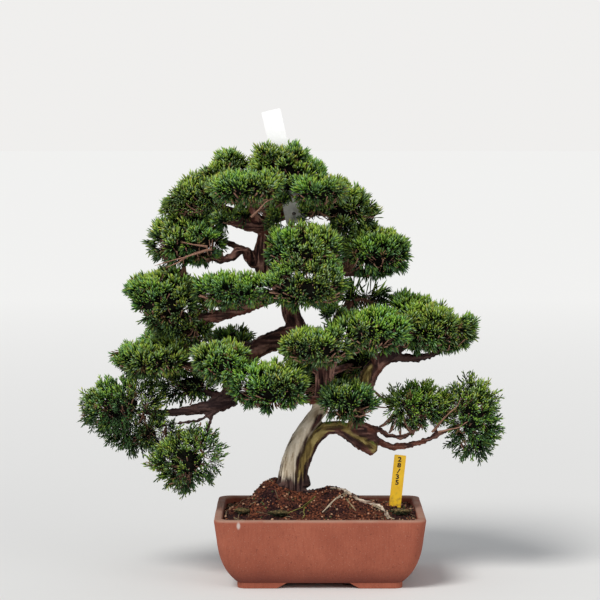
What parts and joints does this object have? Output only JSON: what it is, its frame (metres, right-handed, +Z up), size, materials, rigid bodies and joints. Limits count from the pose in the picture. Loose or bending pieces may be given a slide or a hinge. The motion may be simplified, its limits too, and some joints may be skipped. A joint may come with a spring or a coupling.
{
  "type": "shimpaku juniper bonsai",
  "caption": "Potted bonsai juniper with a leaning deadwood trunk, a bent lower arm and rounded foliage pads in a rectangular unglazed clay pot.",
  "frame": {"origin": "middle of the object's footprint, on the surface that the pot's feet stand on", "axes": "+Z up; -Y towards the tree's front, from which the arm and the long low branch point to +X; +X to the right seen from the front"},
  "size_m": [0.4766, 0.2122, 0.542],
  "materials": {
    "clay": "matte",
    "soil": "matte",
    "bark": "matte",
    "foliage": "satin",
    "moss": "matte",
    "label_plastic": "satin",
    "paper": "matte",
    "wire": "satin",
    "mesh_plastic": "matte"
  },
  "bodies": {
    "root": {"pot": "clay", "soil": "soil", "moss_by_label": "moss", "moss_front": "moss", "moss_left": "moss", "wood": "bark", "pad_apex": "foliage", "pad_crown_peak": "foliage", "pad_crown_left": "foliage", "pad_crown_front": "foliage", "pad_crown_right": "foliage", "pad_crown_front_right": "foliage", "pad_crown_back": "foliage", "pad_upper_left": "foliage", "pad_upper_left_back": "foliage", "pad_upper_front": "foliage", "pad_upper_right": "foliage", "pad_upper_back": "foliage", "pad_centre_front": "foliage", "pad_middle_left": "foliage", "pad_middle_left_front": "foliage", "pad_middle_left_under": "foliage", "pad_middle_left_back": "foliage", "pad_middle_right": "foliage", "pad_middle_right_front": "foliage", "pad_middle_centre_front": "foliage", "pad_middle_right_sparse": "foliage", "pad_middle_right_back": "foliage", "pad_lower_left": "foliage", "pad_lower_left_front": "foliage", "pad_lower_left_back": "foliage", "pad_low_left_tip": "foliage", "pad_low_left_under": "foliage", "pad_hanging": "foliage", "pad_lower_centre_front": "foliage", "pad_lower_right_front": "foliage", "pad_lower_back": "foliage", "pad_low_right": "foliage", "pad_low_right_tip": "foliage", "pad_middle_right_top": "foliage", "pad_lower_right_back": "foliage", "pad_low_left_inner": "foliage", "plant_label": "label_plastic", "paper_tag": "paper", "tag_wire": "wire", "drain_mesh_left": "mesh_plastic", "mesh_clip_left": "wire", "drain_mesh_right": "mesh_plastic", "mesh_clip_right": "wire"}
  },
  "joints": []
}
